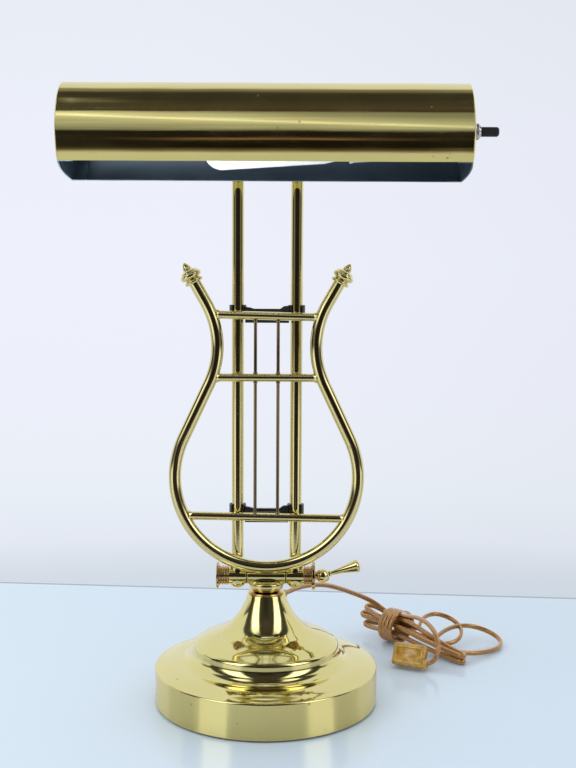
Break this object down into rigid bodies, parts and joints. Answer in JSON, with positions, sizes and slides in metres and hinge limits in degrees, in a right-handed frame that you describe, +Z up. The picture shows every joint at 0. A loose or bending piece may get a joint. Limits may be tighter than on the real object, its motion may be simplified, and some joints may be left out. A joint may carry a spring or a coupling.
{
  "type": "piano lamp",
  "caption": "Polished brass piano lamp with a half-round tilting shade, a lyre in front of its posts, a clamped pivot on a weighted round base, and a bundled cord.",
  "frame": {"origin": "centre of the foot's underside, on the table", "axes": "+Z up, +X to the viewer's right along the shade towards its switch, -Y towards the player, the way the shade reaches and opens"},
  "size_m": [0.4499, 0.3248, 0.5857],
  "materials": {
    "lacquered_brass": "polished and lacquered",
    "zinc_steel": "zinc plated",
    "cast_weight": "rough cast",
    "felt": "felt",
    "black_clip": "satin moulded",
    "lead_insulation": "smooth",
    "holder": "glazed",
    "bulb_glass": "frosted tube",
    "bulb_screw": "rolled thread",
    "black_plastic": "moulded",
    "nickel": "nickel plated",
    "cord_gold": "clear gold twin flex",
    "plug_amber": "clear amber moulding",
    "plug_brass": "stamped"
  },
  "bodies": {
    "base": {"base_shell": "lacquered_brass", "base_weight": "cast_weight", "base_cover": "zinc_steel", "felt_pad": "felt", "stem_tube": "zinc_steel", "neck_collar": "lacquered_brass", "centre_knuckle": "lacquered_brass", "base_nipple": "zinc_steel", "base_nut": "zinc_steel", "base_lock_washer": "zinc_steel", "cord_bushing": "lacquered_brass", "pivot_bolt": "zinc_steel", "left_pivot_ring": "lacquered_brass", "right_pivot_ring": "lacquered_brass", "left_pivot_disc": "lacquered_brass", "right_pivot_disc": "lacquered_brass", "cord_lead": "cord_gold", "cord_hank": "cord_gold", "cord_loops": "cord_gold", "cord_end": "cord_gold", "plug_body": "plug_amber", "plug_blades": "plug_brass"},
    "lever": {"lever_ball": "lacquered_brass", "lever_handle": "lacquered_brass"},
    "arm": {"left_knuckle": "lacquered_brass", "right_knuckle": "lacquered_brass", "friction_washers": "zinc_steel", "left_post": "lacquered_brass", "right_post": "lacquered_brass", "post_wire": "lead_insulation", "lyre_tube": "lacquered_brass", "top_bar": "lacquered_brass", "middle_bar": "lacquered_brass", "bottom_bar": "lacquered_brass", "strings": "lacquered_brass", "left_finial": "lacquered_brass", "right_finial": "lacquered_brass", "upper_clip": "black_clip", "lower_clip": "black_clip", "clip_screws": "zinc_steel", "left_top_knuckle": "lacquered_brass", "right_top_knuckle": "lacquered_brass", "top_bolt": "zinc_steel", "top_washers": "zinc_steel", "top_acorn_nuts": "lacquered_brass"},
    "shade": {"shade_knuckle": "lacquered_brass", "shade_nipple": "zinc_steel", "shade_saddle": "zinc_steel", "shade_nut": "zinc_steel", "socket_strap": "zinc_steel", "lamp_holder": "holder", "bulb_base": "bulb_screw", "bulb_globe": "bulb_glass", "shade_shell": "lacquered_brass", "left_end_cap": "lacquered_brass", "right_end_cap": "lacquered_brass", "switch_body": "black_plastic", "switch_nut": "nickel", "socket_leads": "lead_insulation"},
    "knob": {"switch_knob": "black_plastic"}
  },
  "joints": [
    {"name": "arm_pivot", "type": "hinge", "parent": "base", "child": "arm", "pos_m": [0, 0, 0.124], "axis": [1, 0, 0], "range_deg": [-20, 35]},
    {"name": "clamp_lever", "type": "hinge", "parent": "base", "child": "lever", "pos_m": [0.06, 0, 0.124], "axis": [1, 0, 0], "range_deg": [-90, 90]},
    {"name": "shade_tilt", "type": "hinge", "parent": "arm", "child": "shade", "pos_m": [0, 0, 0.54], "axis": [1, 0, 0], "range_deg": [-60, 35]},
    {"name": "switch_turn", "type": "hinge", "parent": "shade", "child": "knob", "pos_m": [0.195, -0.0666, 0.5444], "axis": [1, 0, 0], "continuous": true}
  ]
}
